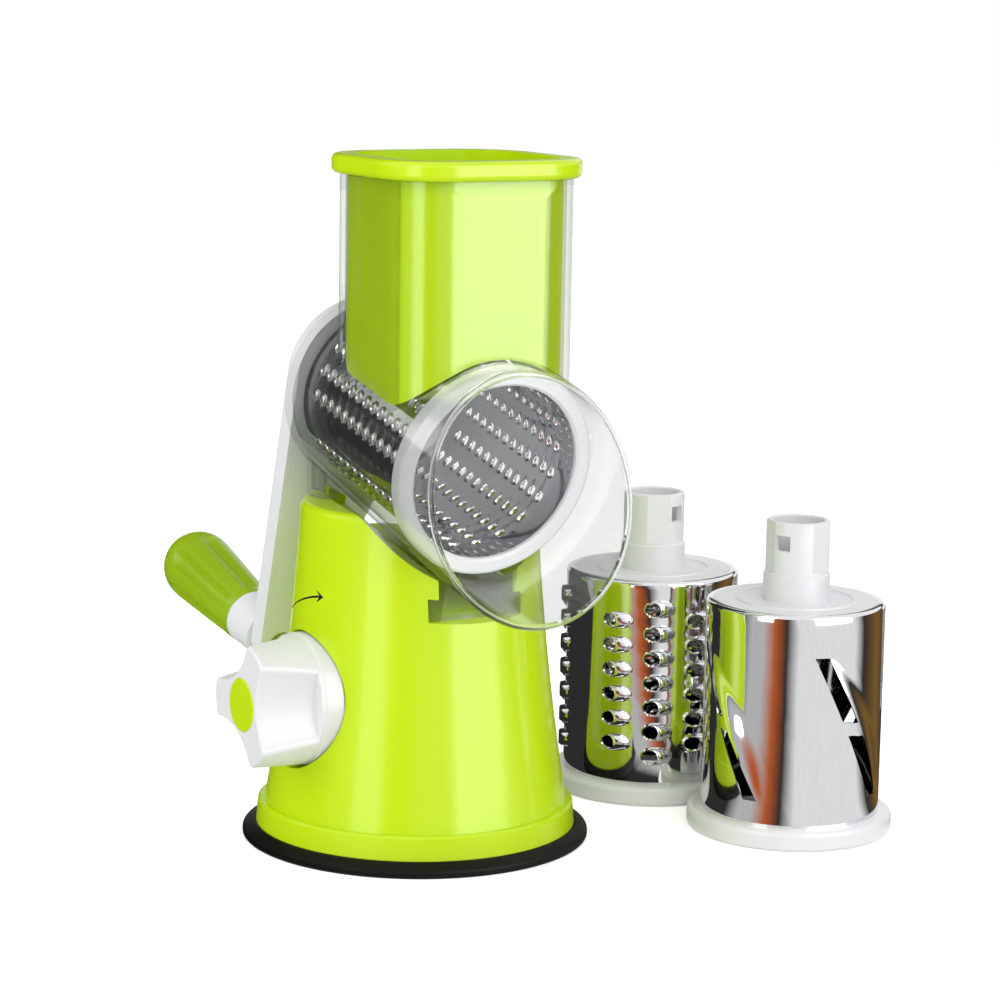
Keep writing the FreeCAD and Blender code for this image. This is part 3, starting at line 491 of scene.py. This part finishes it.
def punched_sheet(name, phase, low, half_pitch, halves, columns, tooth, across_steps, up_steps, rings):
    """The steel sheet with a raised tooth in every cell of each column.

    The columns follow each other round the drum from phase, in degrees. Their cells are two half pitches tall
    and lie between low and as many half pitches above it as halves says. columns gives the half at which each
    column starts, or None where the sheet stays plain.
    """
    points = []
    faces = []
    margin_rows = 3
    positions = len(columns)
    cell_wide = 2 * math.pi * sheet_radius / positions
    high = low + halves * half_pitch
    border = cell_border(cell_wide / 2, half_pitch, across_steps, up_steps)
    tooth_form = tooth_rings(border, tooth, rings)
    count = len(border)

    def add(across, up, rise, turn):
        angle = turn + across / sheet_radius
        radius = sheet_radius + rise
        points.append((radius * math.cos(angle), radius * math.sin(angle), up))
        return len(points) - 1

    def plain(turn, start, end, rows):
        grid = []
        for row in range(rows + 1):
            up = start + (end - start) * row / rows
            grid.append([add(cell_wide * (step / across_steps - 0.5), up, 0, turn)
                         for step in range(across_steps + 1)])
        for lower, upper in zip(grid, grid[1:]):
            for step in range(across_steps):
                faces.append((lower[step], lower[step + 1], upper[step + 1], upper[step]))

    def toothed(turn, middle):
        loops = [[add(across, middle + up, 0, turn) for across, up in border]]
        for row in tooth_form:
            loops.append([add(across, middle + up, rise, turn) for across, up, rise in row])
        for outer, inner in zip(loops, loops[1:]):
            for step in range(count):
                after = (step + 1) % count
                faces.append((outer[step], outer[after], inner[after], inner[step]))

    for column, first in enumerate(columns):
        turn = math.radians(phase) + 2 * math.pi * column / positions
        plain(turn, sheet_low, low, margin_rows)
        plain(turn, high, drum_length - rim_curl, margin_rows)
        if first is None:
            plain(turn, low, high, halves * up_steps)
            continue
        if first:
            plain(turn, low, low + half_pitch, up_steps)
            plain(turn, high - half_pitch, high, up_steps)
        for half in range(first, halves - 1, 2):
            toothed(turn, low + (half + 1) * half_pitch)

    total = positions * across_steps
    lower = None
    for radius, height in sheet_rim():
        upper = len(points)
        for step in range(total):
            angle = math.radians(phase) + 2 * math.pi * (step / total) - math.pi / positions
            points.append((radius * math.cos(angle), radius * math.sin(angle), height))
        if lower is not None:
            for step in range(total):
                after = (step + 1) % total
                faces.append((lower + step, lower + after, upper + after, upper + step))
        lower = upper
    return finished_sheet(name, points, faces)


def finished_sheet(name, points, faces):
    """Joins the sheet's cells, gives it its thickness and smooths all but its cut edges."""
    piece = new_piece(name, points, faces, chrome, sharp_from=None)
    work = bmesh.new()
    work.from_mesh(piece.data)
    bmesh.ops.remove_doubles(work, verts=work.verts, dist=join_within / 1000)
    bmesh.ops.recalc_face_normals(work, faces=work.faces)
    work.to_mesh(piece.data)
    work.free()
    depth = piece.modifiers.new("thickness", "SOLIDIFY")
    depth.thickness = sheet_thickness / 1000
    depth.offset = -1
    depth.use_even_offset = False
    bpy.context.view_layer.update()
    solid = bpy.data.meshes.new_from_object(piece.evaluated_get(bpy.context.evaluated_depsgraph_get()))
    piece.modifiers.clear()
    piece.data = solid
    solid.shade_smooth()
    solid.set_sharp_from_angle(angle=math.radians(cut_edge))
    return piece


fine_half_pitch = 5.45 / 2
fine_sheet = punched_sheet(
    "fine_drum_sheet", phase=184.5, low=14.6 - fine_half_pitch, half_pitch=fine_half_pitch, halves=24,
    columns=[0] * 20 + [None], across_steps=6, up_steps=2, rings=3,
    tooth=Tooth(half_wide=2.6, half_tall=2.0, lead=0.3, mouth_wide=2.05, mouth_tall=1.6, mouth_at=-0.35,
                height=1.1, lip=0))
fine_sheet.matrix_world = mounted
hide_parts("fine_drum_shell")
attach(fine_sheet, "fine_drum")
dress("fine_drum_ring", white)
dress("fine_drum_hub", white)


# ---------------------------------------------------------------------------
# Crank: a white arm, open and ribbed towards the machine, that grips the drum's
# hub. A springy leaf locks into the hub, and the green button lifts it.
for node in ("crank_arm", "arm_cover", "latch_leaf"):
    dress(node, white)
dress("release_button", lime)


# ---------------------------------------------------------------------------
# Grip: a fluted handle, moulded in a deeper lime, that turns freely on a steel
# pin. A clip on the pin's end holds it.
deep_lime = moulded("deep_lime_gloss", linear(150, 184, 3), linear(140, 175, 1), 0.2)
dress("grip", deep_lime)
dress("grip_pin", plain_steel)
dress("grip_clip", plain_steel)


# ---------------------------------------------------------------------------
# Coarse drum: spare, with staggered columns of large hooded teeth punched out
# of the same steel sheet. It stands on its white ring beside the machine.
coarse_place = Vector((0.1126, 0.0185, 0))
coarse_half_pitch = 9.37 / 2
coarse_sheet = punched_sheet(
    "coarse_drum_sheet", phase=-145.8, low=18.6 - coarse_half_pitch, half_pitch=coarse_half_pitch, halves=14,
    columns=[1 - column % 2 for column in range(12)] + [None], across_steps=10, up_steps=3, rings=5,
    tooth=Tooth(half_wide=6.0, half_tall=3.45, lead=0, mouth_wide=2.85, mouth_tall=2.9, mouth_at=-2.5,
                height=2.7, lip=0.35))
coarse_sheet.matrix_world = Matrix.Translation(coarse_place)
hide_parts("coarse_drum_shell")
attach(coarse_sheet, "coarse_drum")
dress("coarse_drum_ring", white)
dress("coarse_drum_hub", white)


# ---------------------------------------------------------------------------
# Slicing drum: spare, of the same sheet, with four slanting slots. Each slot is
# bridged halfway, and one edge of it is raised as a blade.
slicer_place = Vector((0.12623, -0.05576, 0))
slots = 4
first_slot = math.radians(-61.9)
slot_slant = math.radians(-0.86)    # round the drum, per millimetre up
slot_low = 16.4
slot_high = 69.8
slot_middle = (slot_low + slot_high) / 2
half_slot = 2.7
half_bridge = 2.5
blade_height = 1.7
blade_foot = 2.4          # how far its swell reaches over the sheet at the slot's ends
blade_spread = 7.4        # and how much further at its middle


def blade_rise(across, height):
    """How far the sheet is raised, by its distance from the slot's middle line and its height."""
    if across < 0 or not slot_low <= height <= slot_high:
        return 0
    swell = math.sin(math.pi * (height - slot_low) / (slot_high - slot_low))
    share = max(0, (across - half_slot) / (blade_foot + blade_spread * swell))
    return 0 if share >= 1 else blade_height * swell * math.cos(share * math.pi / 2) ** 2


def sliced_sheet():
    """The sheet as a grid of columns that follow the slots, without the faces in the slots."""
    slot_columns = (-0.7, 0.7)
    before = [-22, -18.5, -15, -11.5, -8, -5, -3.6, -half_slot]
    after_slot = [half_slot + 0.7 * step for step in range(15)] + [15, 18, 21.5, 25]
    columns = [*before, *slot_columns, *after_slot]
    slot_start = len(before) - 1
    slot_end = slot_start + len(slot_columns)
    half_steps = 18
    half_tall = slot_middle - half_bridge - slot_low
    heights = [sheet_low, 6, 10, 14, slot_low]
    heights += [slot_low + half_tall * step / half_steps for step in range(1, half_steps + 1)]
    heights += [slot_middle, slot_middle + half_bridge]
    heights += [slot_middle + half_bridge + half_tall * step / half_steps for step in range(1, half_steps)]
    heights += [slot_high, 72.5, 76, 80, drum_length - rim_curl]
    rows = [(sheet_radius, height) for height in heights] + sheet_rim()[1:]

    points = []
    for radius, height in rows:
        for slot in range(slots):
            start = first_slot + 2 * math.pi * slot / slots + slot_slant * (height - slot_low)
            for across in columns:
                turn = start + across / sheet_radius
                lift = radius + blade_rise(across, height)
                points.append((lift * math.cos(turn), lift * math.sin(turn), height))

    faces = []
    total = len(columns) * slots
    for row, ((_, low), (_, high)) in enumerate(zip(rows, rows[1:])):
        bridged = low >= slot_middle - half_bridge - 0.1 and high <= slot_middle + half_bridge + 0.1
        open_row = low >= slot_low and high <= slot_high and not bridged
        for step in range(total):
            in_slot = slot_start <= step % len(columns) <= slot_end
            if not (open_row and in_slot):
                after = (step + 1) % total
                here = row * total
                faces.append((here + step, here + after, here + total + after, here + total + step))
    return finished_sheet("slicer_drum_sheet", points, faces)


slicer_sheet = sliced_sheet()
slicer_sheet.matrix_world = Matrix.Translation(slicer_place)
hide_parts("slicer_drum_shell")
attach(slicer_sheet, "slicer_drum")
dress("slicer_drum_ring", white)
dress("slicer_drum_hub", white)


# ---------------------------------------------------------------------------
# Studio: a white floor in a white room, soft lamps, and painted reflections that only
# polished surfaces show: a dark surround with coloured bands, and bright screens as painted highlights.
floor_half = 3.0
floor_glow = 0.42
sheet_lift = 0.0008       # the surround lies this far over the floor
surround_middle = (0.1262, -0.0558, 0)
surround_near = 0.04
surround_reach = 1.1
# Painted shade: dark discs inside the spare drums, which only polished surfaces see.
shade_radius = 0.0312     # of the dark discs inside the spare drums
shade_lift = 0.0015
lamp_aim = Vector((0.03, 0, 0.11))
black = (0, 0, 0, 1)
paper_white = (1, 1, 1, 1)

room = bpy.data.worlds.new("room")
bpy.context.scene.world = room
room.use_nodes = True
air = Shader(room.node_tree)
lit = air.node("Background", sockets={"Color": paper_white, "Strength": 0.78})
shown = air.node("Background", sockets={"Color": paper_white, "Strength": 1.0})
air.set(room.node_tree.nodes["World Output"], {"Surface": air.mix(air.seen(), lit, shown)})

floor_finish = Finish("pale_floor", Specular_IOR_Level=0.0)
paper = floor_finish.noise(4, 3)
floor_finish.use(
    Base_Color=floor_finish.blend(paper, linear(250, 250, 250), linear(254, 254, 254)),
    Roughness=0.75 + 0.1 * paper)
glow = floor_finish.node("Emission", sockets={"Color": paper_white, "Strength": floor_glow})
lit_floor = floor_finish.principled()
shown_floor = floor_finish.node("AddShader", sockets={0: lit_floor, 1: glow})
floor_finish.show(floor_finish.mix(floor_finish.seen(), lit_floor, shown_floor))


def stage_piece(name, points, faces, finish, glossy_only=True):
    """A piece of the studio, in metres; only polished surfaces show it unless glossy_only is off."""
    mesh = bpy.data.meshes.new(name)
    mesh.from_pydata(points, [], faces)
    mesh.materials.append(finish.material)
    piece = bpy.data.objects.new(name, mesh)
    bpy.context.scene.collection.objects.link(piece)
    if glossy_only:
        for kind in ("camera", "diffuse", "transmission", "shadow", "volume_scatter"):
            setattr(piece, "visible_" + kind, False)
    return piece


floor_corners = [(-floor_half, -floor_half, 0), (floor_half, -floor_half, 0),
                 (floor_half, floor_half, 0), (-floor_half, floor_half, 0)]
stage_piece("floor", floor_corners, [(0, 1, 2, 3)], floor_finish, glossy_only=False)


def lamp(name, place, wide, tall, power):
    made = bpy.data.lights.new(name, "AREA")
    made.shape = "RECTANGLE"
    made.size = wide
    made.size_y = tall
    made.energy = power
    piece = bpy.data.objects.new(name, made)
    piece.location = place
    piece.rotation_mode = "QUATERNION"
    piece.rotation_quaternion = (lamp_aim - Vector(place)).to_track_quat("-Z", "Y")
    bpy.context.scene.collection.objects.link(piece)
    piece.visible_glossy = False


lamp("key_lamp", (-0.2, -1.3, 1.0), wide=0.9, tall=0.9, power=8)
lamp("side_lamp", (1.2, -0.5, 0.7), wide=0.5, tall=1.0, power=0.8)
lamp("left_lamp", (-1.2, 0.3, 0.6), wide=0.5, tall=1.0, power=4.2)

# The surround: a sheet on the floor that turns up into a wall, which only polished surfaces show. It glows
# with painted reflections whose colour goes by compass angle. They are light to the front and dark to the
# sides, with painted orange on the left and painted ochre on the right.
painted_grey_reflection = linear(192, 192, 192)
painted_orange_reflection = linear(192, 96, 48)
painted_dark_reflection = linear(48, 48, 48)
painted_white_reflection = linear(240, 240, 240)
painted_ochre_reflection = linear(128, 96, 48)
bands = (
    (-180, painted_grey_reflection), (-165, painted_grey_reflection), (-150, painted_orange_reflection), (-135, painted_dark_reflection), (-120, painted_white_reflection),
    (-45, painted_white_reflection), (-30, painted_dark_reflection), (0, painted_ochre_reflection), (30, painted_dark_reflection), (165, painted_dark_reflection), (180, painted_grey_reflection))
stops = [(turn / 360 + 0.5, colour) for turn, colour in bands]
# Painted reflection: the sheet gives off its band colour as light, and only polished surfaces see it.
painted_reflection = Finish("painted_reflection", Base_Color=black, Specular_IOR_Level=0.0)
compass = painted_reflection.node("TexGradient", {"gradient_type": "RADIAL"}, {"Vector": painted_reflection.place()}, "Fac")
painted_reflection_colour = painted_reflection.node("ValToRGB", {"stops": stops}, {"Fac": compass})
painted_reflection.use(Emission_Strength=1.0, Emission_Color=painted_reflection_colour)


def painted_light_finish(name, strength):
    """Finish of a glowing sheet that only polished surfaces show: an even white painted highlight, or painted
    shade at no strength.
    """
    made = Finish(name, Base_Color=black, Specular_IOR_Level=0.0, Emission_Strength=strength)
    made.use(Emission_Color=made.blend(made.noise(3), (0.97, 0.97, 0.97, 1), paper_white))
    return made


def sweep(name, start, end, near, reach, height, finish):
    """Sheet between two compass angles: on the floor from near to reach, then upright to height."""
    points = []
    faces = []
    steps = round((end - start) / 3)
    for step in range(steps + 1):
        turn = math.radians(start + (end - start) * step / steps)
        for radius, up in ((near, sheet_lift), (reach, sheet_lift), (reach, height)):
            points.append((radius * math.cos(turn), radius * math.sin(turn), up))
    for step in range(steps):
        for here in (3 * step, 3 * step + 1):
            faces.append((here, here + 3, here + 4, here + 1))
    piece = stage_piece(name, points, faces, finish)
    piece.location = surround_middle


sweep("low_painted_reflection", -230, 64, surround_near, surround_reach, 0.42, painted_reflection)
sweep("high_painted_reflection", 64, 130, surround_near, surround_reach, 1.7, painted_reflection)
# Painted highlights on the left and front, and a painted pale reflection at the rear, for polished surfaces
# only.
sweep("left_painted_highlight", -172, -152, 0.86, 0.86, 0.9, painted_light_finish("left_highlight_glow", 3.2))
sweep("front_painted_highlight", -100, -50, 0.72, 0.72, 0.9, painted_light_finish("front_highlight_glow", 5.2))
sweep("rear_painted_reflection", 20, 88, 0.2, 1.0, 0.3, painted_light_finish("pale_reflection_glow", 1.0))

# Painted shade: black discs inside the spare drums that only polished surfaces show, so their insides mirror
# dark.
shade = painted_light_finish("drum_shade", 0.0)
for name, place in (("coarse_shade", coarse_place), ("slicer_shade", slicer_place)):
    disc = []
    for turn in range(0, 360, 6):
        round_place = Vector((math.cos(math.radians(turn)), math.sin(math.radians(turn)), 0))
        disc.append(place + shade_radius * round_place + Vector((0, 0, shade_lift)))
    stage_piece(name, disc, [tuple(range(len(disc)))], shade)

# The eye: the columns of its matrix are its right, its up, its back and its place.
lens = bpy.data.cameras.new("lens")
lens.sensor_width = 36
lens.lens = 109.41
eye = bpy.data.objects.new("eye", lens)
eye.matrix_world = Matrix((
    (0.86276, 0.07031, -0.50069, -0.51808),
    (-0.50530, 0.15430, -0.84904, -0.93514),
    (0.01756, 0.98552, 0.16865, 0.30500),
    (0, 0, 0, 1)))
bpy.context.scene.collection.objects.link(eye)
bpy.context.scene.camera = eye
bpy.context.scene.view_settings.view_transform = "Standard"
